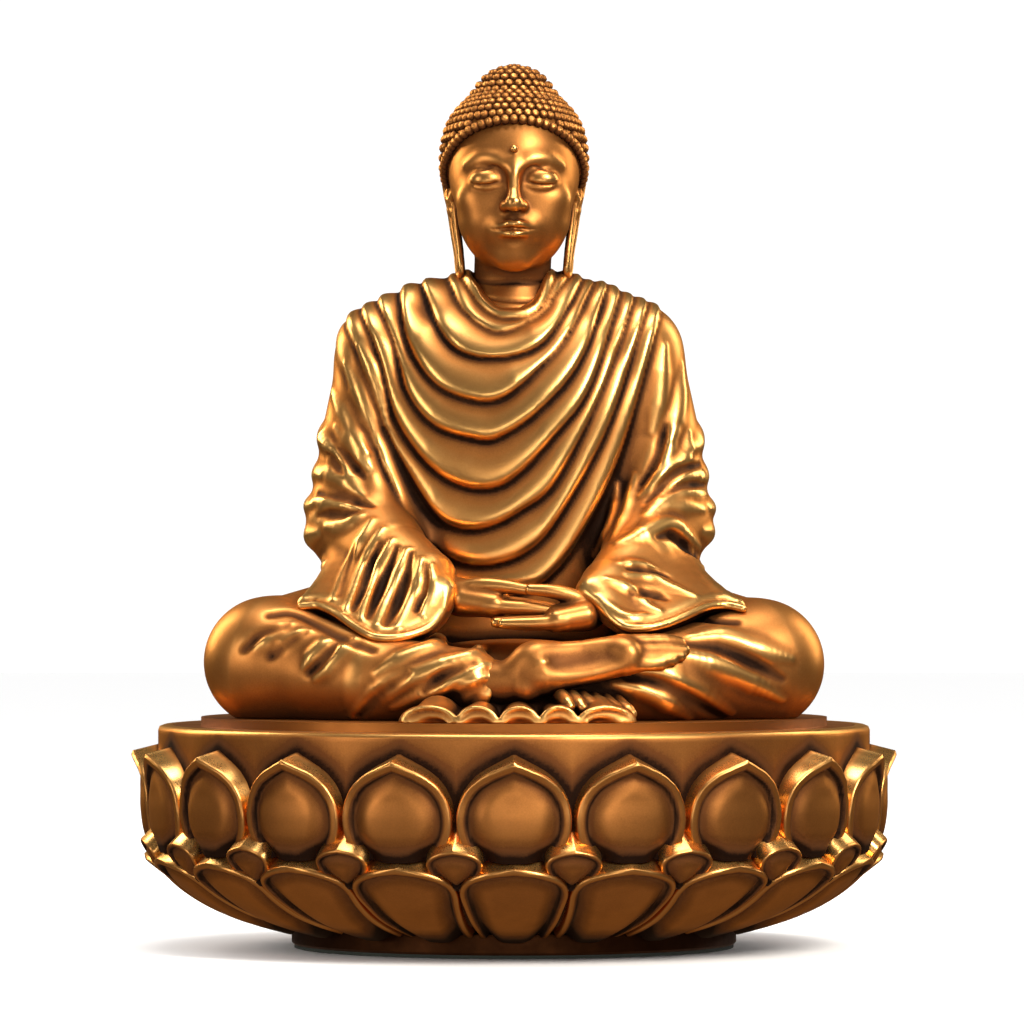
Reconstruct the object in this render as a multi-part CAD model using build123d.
from build123d import *
from math import asin, cos, radians, sin
import os

# Seated meditating buddha on a round lotus throne, cast in brass sections with an antique bronze finish.
# The figure faces -Y and +Z is up. The origin is on the throne's axis at the face that stands on the table.
# The throne is a hollow bowl with a flat deck, two rows of petals, a row of buds and a foot ring.
# The figure is a set of hollow castings joined on one thin plinth, which sits over two pegs in the deck.
# All lengths are millimetres.

# Throne.
deck_top = 100.0
drum_radius = 160.0
throne_wall = 4.0
deck_radius = 153.0
deck_thickness = 4.0
deck_ledge_width = 6.0
deck_ledge_lip = 3.0
deck_ledge_depth = 12.0
bowl_mouth_height = 30.0
foot_radius = 100.0
foot_height = 12.0
foot_bore_radius = 80.0
felt_thickness = 1.5
felt_inset = 1.2
plate_radius = 90.0
plate_thickness = 2.0
plate_z = felt_thickness + 1.0
plate_screw_count = 6
plate_screw_circle = 85.0
plate_screw_radius = 1.5
plate_screw_head_radius = 3.0
plate_screw_length = 6.0
screw_slot_width = 0.8
screw_slot_depth = 0.6
petal_count = 20
petal_pitch = 360.0 / petal_count
rim_height = 2.2
belly_centre = (0, -163.5, 64.0)
belly_radii = (17.0, 7.4, 15.5)
leaf_reach = 40.0

# Figure.
figure_wall = 3.5
plinth_thickness = 4.0
plinth_top = deck_top + plinth_thickness
plinth_radii = (140.0, 123.0)
plinth_centre_y = -19.0
plinth_opening_y = 18.0
plinth_opening_radii = (34.0, 40.0)
peg_radius = 4.0
peg_spacing = 100.0
peg_y = 20.0
peg_height = 10.0
peg_chamfer = 1.2
peg_room_gap = 2.0
running_gap = 0.05
casting_gap = 0.2
socket_clearance = 0.3
leg_drop = 3.5
right_knee = (-109, -50, 129)
left_knee = (109, -50, 128)
trunk_mouth_place = (0, 22, 126)
trunk_mouth_radius = 36.0
trunk_mouth_height = 20.0
skull_core_centre = (0, 1, 347)
skull_core_radii = (24.0, 29.0, 31.0)
pleat_count = 7
pleat_spread = 46.0

out_folder = "parts"


def save(shape, name):
    """Writes one sub-part to its own STEP file."""
    export_step(shape, os.path.join(out_folder, name + ".step"))


def largest_solid(shape):
    """The biggest solid of a cut, without the crumbs that a cut can leave."""
    return max(shape.solids(), key=lambda solid: solid.volume)


def turned(points):
    """A solid of revolution about Z from a closed outline of (radius, height) points."""
    outline = Polyline(*points, close=True)
    return revolve(Plane.XZ * make_face(outline), Axis.Z)


def turned_edges(edges):
    """A solid of revolution about Z from edges that close an outline of (radius, height)."""
    return revolve(Plane.XZ * make_face(edges), Axis.Z)


def limb(start, end, start_radius, end_radius, grow=0.0):
    """Two balls and the cone tangent to both, as one turned solid."""
    a, b = Vector(*start), Vector(*end)
    r0, r1 = start_radius + grow, end_radius + grow
    length = (b - a).length
    lean = asin((r0 - r1) / length)
    mid0 = (lean - radians(90)) / 2
    mid1 = (lean + radians(90)) / 2
    foot = (r0 * cos(lean), r0 * sin(lean))
    head = (r1 * cos(lean), length + r1 * sin(lean))
    edges = [
        ThreePointArc((0, -r0), (r0 * cos(mid0), r0 * sin(mid0)), foot),
        Line(foot, head),
        ThreePointArc(head, (r1 * cos(mid1), length + r1 * sin(mid1)), (0, length + r1)),
        Line((0, length + r1), (0, -r0)),
    ]
    return Plane(origin=a, z_dir=b - a).location * turned_edges(edges)


def egg(centre, radii, grow=0.0):
    """An ellipsoid."""
    a, b, c = (r + grow for r in radii)
    return Pos(*centre) * scale(Sphere(1), by=(a, b, c))


def joined(solids):
    """The union of several solids."""
    whole = solids[0]
    for solid in solids[1:]:
        whole = whole + solid
    return whole


def above(height, reach=400.0):
    """Everything above a height."""
    return Pos(0, 0, height + reach / 2) * Box(reach, reach, reach)


# ---------------------------------------------------------------- throne


def bowl_outline():
    """The bowl's outer profile, from its foot to the deck, as (radius, height)."""
    return [(98.0, foot_height), (118.0, 15.5), (137.0, 23.5), (149.5, 33.5), (157.0, 45.5), (drum_radius, 60.0)]


def bowl_solid(inset=0.0):
    """The bowl with nothing hollowed out, its profile moved inwards by inset."""
    points = [(r - inset, z + inset * 0.6) for r, z in bowl_outline()]
    top = (drum_radius - inset, deck_top)
    edges = [
        Spline(*points, tangents=[(1, 0.12), (0, 1)]),
        Line(points[-1], top),
        Line(top, (0, deck_top)),
        Line((0, deck_top), (0, points[0][1])),
        Line((0, points[0][1]), points[0]),
    ]
    return turned_edges(edges)


def throne_bowl():
    """The hollow bowl: open below for the closing plate, with a rebate above that holds the deck."""
    hollow = bowl_solid(throne_wall)
    ledge_z = deck_top - deck_thickness
    ledge = turned(
        [
            (deck_radius - deck_ledge_width, ledge_z),
            (deck_radius - deck_ledge_width, ledge_z - deck_ledge_lip),
            (drum_radius - 1, ledge_z - deck_ledge_depth),
            (drum_radius - 1, ledge_z),
        ]
    )
    rebate = Pos(0, 0, ledge_z + deck_thickness / 2) * Cylinder(deck_radius + casting_gap, deck_thickness)
    mouth = Pos(0, 0, foot_height) * Cylinder(foot_bore_radius, bowl_mouth_height)
    return largest_solid(bowl_solid() - (hollow - ledge) - rebate - mouth)


def peg_places():
    """Where the two pegs stand on the deck."""
    return [(side * peg_spacing / 2, peg_y) for side in (-1, 1)]


def deck_disc():
    """The flat disc that the figure stands on, with a hole for each peg."""
    disc = Pos(0, 0, deck_top - deck_thickness / 2) * Cylinder(deck_radius, deck_thickness)
    for x, y in peg_places():
        disc -= Pos(x, y, deck_top - deck_thickness / 2) * Cylinder(peg_radius, deck_thickness)
    return largest_solid(disc)


def locating_pegs():
    """Two pegs fixed in the deck, with a chamfered top, that the plinth drops over."""
    length = deck_thickness + peg_height
    peg = Cylinder(peg_radius - running_gap / 2, length)
    peg = chamfer(peg.edges().sort_by(Axis.Z)[-1], peg_chamfer)
    middle = deck_top - deck_thickness + length / 2
    return Compound(children=[Pos(x, y, middle) * peg for x, y in peg_places()])


def plate_screw_places():
    """The turned places of the closing plate's screws."""
    step = 360.0 / plate_screw_count
    return [Rot(0, 0, step * (i + 0.5)) * Pos(plate_screw_circle, 0, 0) for i in range(plate_screw_count)]


def screw_solid(grow=0.0):
    """A countersunk screw pointing up, with its flat head at z = 0."""
    head, shank = plate_screw_head_radius + grow, plate_screw_radius + grow
    cone = head - shank
    length = plate_screw_length + grow
    return turned([(0, 0), (head, 0), (shank, cone), (shank, length), (0, length)])


def foot_ring():
    """The plain ring under the bowl, rebated below for the closing plate."""
    top_of_rebate = plate_z + plate_thickness
    ring = turned(
        [
            (foot_radius - 1.0, felt_thickness),
            (foot_radius, felt_thickness + 1.0),
            (foot_radius, foot_height - 1.5),
            (foot_radius - 1.5, foot_height),
            (foot_bore_radius, foot_height),
            (foot_bore_radius, top_of_rebate),
            (plate_radius + casting_gap, top_of_rebate),
            (plate_radius + casting_gap, felt_thickness),
        ]
    )
    for place in plate_screw_places():
        ring -= place * (Pos(0, 0, plate_z) * screw_solid(running_gap))
    return largest_solid(ring)


def closing_plate():
    """The sheet that closes the throne from below."""
    plate = Pos(0, 0, plate_z + plate_thickness / 2) * Cylinder(plate_radius, plate_thickness)
    for place in plate_screw_places():
        plate -= place * (Pos(0, 0, plate_z) * screw_solid(running_gap))
    return largest_solid(plate)


def plate_screws():
    """The screws of the closing plate, each with a slot across its head."""
    slot_length = 2 * plate_screw_head_radius + 1
    slot = Pos(0, 0, screw_slot_depth / 2) * Box(slot_length, screw_slot_width, screw_slot_depth)
    screw = screw_solid() - slot
    return Compound(children=[place * (Pos(0, 0, plate_z) * screw) for place in plate_screw_places()])


def base_felt():
    """The felt ring glued under the foot ring, which is what touches the table."""
    return turned(
        [
            (plate_radius + felt_inset, 0),
            (foot_radius - felt_inset, 0),
            (foot_radius - felt_inset, felt_thickness),
            (plate_radius + felt_inset, felt_thickness),
        ]
    )


def leaf_face(half_points):
    """A leaf-shaped face, mirrored about its middle line. half_points are six points from tip to root:
    the tip, the point where the hollow curve turns to a round one, a point on the round, the widest point,
    a point on the lower side, and the root corner."""
    tip, turn, shoulder, wide, side, root = half_points
    bend = (turn[0] * 0.5 - 0.7, (tip[1] + turn[1]) / 2 - 0.5)

    def half(mirror):
        def at(point):
            return (point[0] * mirror, point[1])

        return [
            ThreePointArc(at(tip), at(bend), at(turn)),
            ThreePointArc(at(turn), at(shoulder), at(wide)),
            ThreePointArc(at(wide), at(side), at(root)),
        ]

    bottom = Line((-root[0], root[1]), root)
    return make_face(half(1) + half(-1) + [bottom])


upper_leaf = [(0, 90.5), (8.5, 84.8), (20.3, 76.0), (24.6, 63.0), (23.0, 53.0), (16.5, 46.5)]
upper_panel = [(0, 83.5), (6.5, 80.0), (15.6, 72.8), (19.6, 62.5), (18.4, 54.0), (13.5, 48.0)]
lower_leaf = [(0, 35.0), (8.5, 30.8), (18.8, 23.5), (22.9, 12.0), (18.6, -12.0), (10.2, -34.0)]
lower_panel = [(0, 28.8), (7.0, 26.0), (14.8, 20.2), (18.2, 11.0), (14.2, -10.0), (6.5, -32.0)]
bud_leaf = [(0, 58.5), (5.0, 57.3), (10.0, 54.0), (12.0, 49.5), (9.0, 42.0), (3.0, 37.0)]


def upper_band():
    """The ring that the upper petals are cut from: it hugs the drum and its lip leans out."""
    edges = [
        Spline((161.0, 45.0), (166.8, 58.0), (168.0, 72.0), (168.8, 81.0), (172.5, 89.5)),
        Line((172.5, 89.5), (170.4, 90.6)),
        ThreePointArc((170.4, 90.6), (163.6, 83.0), (160.0, 73.0)),
        Line((160.0, 73.0), (150.0, 73.0)),
        Line((150.0, 73.0), (150.0, 45.0)),
        Line((150.0, 45.0), (161.0, 45.0)),
    ]
    return turned_edges(edges) - bowl_solid()


def lower_band():
    """The ring that the lower petals are cut from, which follows the bowl's underside."""
    edges = [
        Spline((103.0, 10.5), (122.0, 11.8), (141.0, 18.8), (152.5, 27.5), (160.0, 36.0), (166.0, 42.5)),
        Line((166.0, 42.5), (164.0, 44.6)),
        ThreePointArc((164.0, 44.6), (158.2, 41.8), (154.0, 38.5)),
        Line((154.0, 38.5), (103.0, 38.5)),
        Line((103.0, 38.5), (103.0, 10.5)),
    ]
    return turned_edges(edges) - bowl_solid()


upper_plane = Plane(origin=(0, -150, 0), x_dir=(1, 0, 0), z_dir=(0, -1, 0))
lower_slope = 30.0
lower_middle = (140.0, 22.0)
lower_plane = Plane(
    origin=(0, -lower_middle[0], lower_middle[1]),
    x_dir=(1, 0, 0),
    z_dir=(0, -sin(radians(lower_slope)), -cos(radians(lower_slope))),
)


def upper_petal():
    """One petal of the upper row at the front: a raised rim round a full belly."""
    outline = extrude(upper_plane * leaf_face(upper_leaf), leaf_reach)
    panel = extrude(upper_plane * leaf_face(upper_panel), leaf_reach)
    band = upper_band()
    step = Pos(0, rim_height, 0) * band
    plate = (band & outline) - (panel - step)
    belly = egg(belly_centre, belly_radii) - bowl_solid()
    return largest_solid(plate + belly)


def lower_petal():
    """One petal of the lower row at the front, lying along the bowl's underside."""
    outline = extrude(lower_plane * leaf_face(lower_leaf), leaf_reach, both=True)
    panel = extrude(lower_plane * leaf_face(lower_panel), leaf_reach, both=True)
    band = lower_band()
    step = Pos(0, rim_height * 0.5, rim_height * 0.85) * band
    plate = (band & outline) - (panel - step)
    return largest_solid(plate)


def bud_petal(uppers, lowers):
    """One bud between two upper and two lower petals, standing half a pitch from the front."""
    edges = [
        Spline((156.0, 36.0), (162.5, 43.0), (166.0, 50.0), (170.5, 57.5)),
        Line((170.5, 57.5), (168.2, 58.5)),
        ThreePointArc((168.2, 58.5), (163.0, 53.0), (159.5, 47.0)),
        Line((159.5, 47.0), (150.0, 47.0)),
        Line((150.0, 47.0), (150.0, 36.0)),
        Line((150.0, 36.0), (156.0, 36.0)),
    ]
    band = turned_edges(edges)
    raw = (band & extrude(upper_plane * leaf_face(bud_leaf), leaf_reach)) - bowl_solid()
    raw = Rot(0, 0, petal_pitch / 2) * raw
    for leaf in (uppers, lowers):
        for turn in (0, petal_pitch):
            raw -= Rot(0, 0, turn) * leaf
    return largest_solid(raw)


# ---------------------------------------------------------------- figure


def plinth():
    """The thin oval plate that the figure is joined on, with a core opening and two sockets."""
    a, b = plinth_radii
    middle = deck_top + plinth_thickness / 2
    plate = Pos(0, plinth_centre_y, 0) * extrude(Pos(0, 0, deck_top) * Ellipse(a, b), plinth_thickness)
    plate -= extrude(Pos(0, plinth_opening_y, deck_top) * Ellipse(*plinth_opening_radii), plinth_thickness)
    for x, y in peg_places():
        plate -= Pos(x, y, middle) * Cylinder(peg_radius + socket_clearance, plinth_thickness)
    return largest_solid(plate)


# Height, middle y, half width and half depth of the trunk, from the lap to the collar.
trunk_sections = [
    (126, 22, 60, 45),
    (165, 18, 54, 42),
    (200, 15, 57, 43),
    (235, 12, 66, 44),
    (262, 12, 68, 42),
    (282, 12, 56, 36),
    (296, 11, 36, 28),
]


def torso_solid(grow=0.0):
    """The robed trunk, from the lap to the collar."""
    last = len(trunk_sections) - 1
    faces = []
    for i, (z, y, rx, ry) in enumerate(trunk_sections):
        lift = {0: -grow, last: grow}.get(i, 0.0)
        faces.append(Pos(0, y, z + lift) * Ellipse(rx + grow, ry + grow))
    return loft(faces)


def neck_solid(grow=0.0):
    return limb((0, 8, 284), (0, 2, 322), 19.5, 18.5, grow)


def head_solid(grow=0.0):
    """Face, skull and neck."""
    return joined(
        [
            egg((0, -5, 341), (28.5, 33.5, 36.0), grow),
            egg((0, 5, 352), (30.0, 35.0, 33.0), grow),
            neck_solid(grow),
        ]
    )


def right_leg_solid(grow=0.0):
    """The right thigh and the shin folded in front of it."""
    return joined(
        [
            limb(right_knee, (-52, 42, 138), 27.5, 34, grow),
            limb(right_knee, (-16, -97, 123), 27, 15, grow),
        ]
    )


def left_leg_solid(grow=0.0):
    """The left thigh and shin, mirror of the right with a lower ankle."""
    return joined(
        [
            limb(left_knee, (52, 42, 138), 27.5, 34, grow),
            limb(left_knee, (20, -90, 119), 26.5, 14.5, grow),
        ]
    )


def right_sleeve_solid(grow=0.0):
    """The robed right arm: upper arm, forearm and the fall of cloth on the lap."""
    return joined(
        [
            limb((-52, 14, 264), (-67, 4, 192), 27, 25.5, grow),
            limb((-67, 2, 188), (-40, -48, 168), 25, 16, grow),
            limb((-66, -10, 176), (-56, -52, 160), 23, 15, grow),
        ]
    )


def left_sleeve_solid(grow=0.0):
    """The robed left arm."""
    return joined(
        [
            limb((52, 14, 264), (65, 4, 192), 26, 24.5, grow),
            limb((65, 2, 186), (42, -48, 166), 24, 15, grow),
            limb((63, -10, 172), (62, -52, 158), 21, 14, grow),
        ]
    )


def right_hand_solid(grow=0.0):
    """The right hand, palm up, its fingers towards +X."""
    fingers = [limb((-8, -66 + 5 * i, 153), (17, -69 + 4.6 * i, 152), 3.4, 2.8, grow) for i in range(4)]
    palm = limb((-30, -58, 158), (-8, -60, 154), 8.0, 8.5, grow)
    return joined([palm] + fingers)


def left_hand_solid(grow=0.0):
    """The left hand below and in front, palm up, its fingers towards -X."""
    fingers = [limb((18, -84 + 5 * i, 146), (-6, -82 + 4.4 * i, 145), 3.4, 2.8, grow) for i in range(4)]
    palm = limb((36, -70, 151), (20, -76, 148), 8.5, 8.5, grow)
    return joined([palm] + fingers)


def right_foot_solid(grow=0.0):
    """The right foot lying sole up on the left shin."""
    return joined(
        [
            limb((2, -112, 131), (36, -106, 134), 11.0, 8.5, grow),
            limb((34, -106, 134), (72, -95, 138), 8.5, 5.0, grow),
        ]
    )


def lap_solid(grow=0.0):
    """The cloth stretched over the lap between the thighs."""
    return egg((0, -38, 100), (66, 56, 42), grow)


def robe_fan_solid(grow=0.0):
    """The pleated hem of the robe spread on the plinth in front of the shins."""
    pleats = []
    for i in range(pleat_count):
        across = pleat_spread * (2 * i / (pleat_count - 1) - 1)
        reach = -135 + 7 * (across / pleat_spread) ** 2
        pleats.append(limb((across * 0.75, -100, 110), (across, reach, 108.5), 9.0, 7.5, grow))
    return joined(pleats)


def hair_cap_solid():
    """The cap of curls and the crown bump, cut along the hairline."""
    cap = joined([egg((0, 6, 353), (33.5, 39.5, 36.0)), egg((0, 9, 378), (21.5, 22.5, 19.8))])
    hairline = Plane(origin=(0, 0, 347.5), z_dir=(0, 0.55, 0.84))
    keep = hairline.location * (Pos(0, 0, 100) * Box(200, 200, 200))
    return cap & keep


def hollow(shape_of, drop=0.0):
    """A casting's shell: the solid less the same solid one wall smaller, which can hang lower to open below."""
    return shape_of() - Pos(0, 0, -drop) * shape_of(-figure_wall)


def figure_parts():
    """Every casting of the figure, each cut back so that it meets its neighbours with a small gap."""
    gap = casting_gap
    over_plinth = above(plinth_top)
    room = Cylinder(peg_radius + peg_room_gap, 2 * peg_height)
    peg_room = [Pos(x, y, plinth_top) * room for x, y in peg_places()]
    right_leg = (hollow(right_leg_solid, leg_drop) & over_plinth) - peg_room
    left_leg = (hollow(left_leg_solid, leg_drop) & over_plinth) - right_leg_solid(gap) - peg_room
    foot = right_foot_solid() - right_leg_solid(gap) - left_leg_solid(gap)
    fan = (robe_fan_solid() & over_plinth) - right_leg_solid(gap) - left_leg_solid(gap) - right_foot_solid(gap)
    mouth = Pos(*trunk_mouth_place) * Cylinder(trunk_mouth_radius, trunk_mouth_height)
    trunk = torso_solid() - torso_solid(-figure_wall) - mouth
    trunk = trunk - right_leg_solid(gap) - left_leg_solid(gap) - neck_solid(gap)
    sleeves = []
    for sleeve in (right_sleeve_solid, left_sleeve_solid):
        shell = hollow(sleeve) - torso_solid(gap) - right_leg_solid(gap) - left_leg_solid(gap)
        sleeves.append(shell)
    hands = [left_hand_solid(gap), right_hand_solid(gap)]
    covered = [right_leg_solid(gap), left_leg_solid(gap), torso_solid(gap), right_foot_solid(gap)]
    sleeve_cuts = [right_sleeve_solid(gap), left_sleeve_solid(gap)]
    lap = (lap_solid() & over_plinth) - lap_solid(-figure_wall) - covered - hands - sleeve_cuts - peg_room
    fan = fan - lap_solid(gap)
    left_hand = left_hand_solid() - left_sleeve_solid(gap)
    right_hand = right_hand_solid() - right_sleeve_solid(gap) - left_hand_solid(gap) - left_sleeve_solid(gap)
    left_hand = left_hand - torso_solid(gap) - left_leg_solid(gap) - right_leg_solid(gap)
    right_hand = right_hand - torso_solid(gap) - left_leg_solid(gap) - right_leg_solid(gap)
    neck_core = limb((0, 9, 260), (0, 2, 330), 15.0, 14.5)
    head = head_solid() - egg(skull_core_centre, skull_core_radii) - neck_core
    hair = hair_cap_solid() - head_solid(gap)
    return {
        "right_leg": right_leg,
        "left_leg": left_leg,
        "right_foot": foot,
        "robe_fan": fan,
        "lap_drape": lap,
        "torso": trunk,
        "right_sleeve": sleeves[0],
        "left_sleeve": sleeves[1],
        "right_hand": right_hand,
        "left_hand": left_hand,
        "head": head,
        "hair_cap": hair,
    }


def build():
    os.makedirs("parts", exist_ok=True)
    save(throne_bowl(), "throne_bowl")
    save(deck_disc(), "deck_disc")
    save(locating_pegs(), "locating_pegs")
    save(foot_ring(), "foot_ring")
    save(closing_plate(), "closing_plate")
    save(plate_screws(), "plate_screws")
    save(base_felt(), "base_felt")
    upper, lower = upper_petal(), lower_petal()
    for i in range(petal_count):
        save(Rot(0, 0, petal_pitch * i) * upper, f"upper_petal_{i + 1:02d}")
    save(Compound(children=[Rot(0, 0, petal_pitch * i) * lower for i in range(petal_count)]), "lower_petals")
    bud = bud_petal(upper, lower)
    save(Compound(children=[Rot(0, 0, petal_pitch * i) * bud for i in range(petal_count)]), "bud_petals")
    save(plinth(), "figure_plinth")
    for name, shape in figure_parts().items():
        save(largest_solid(shape), name)


build()
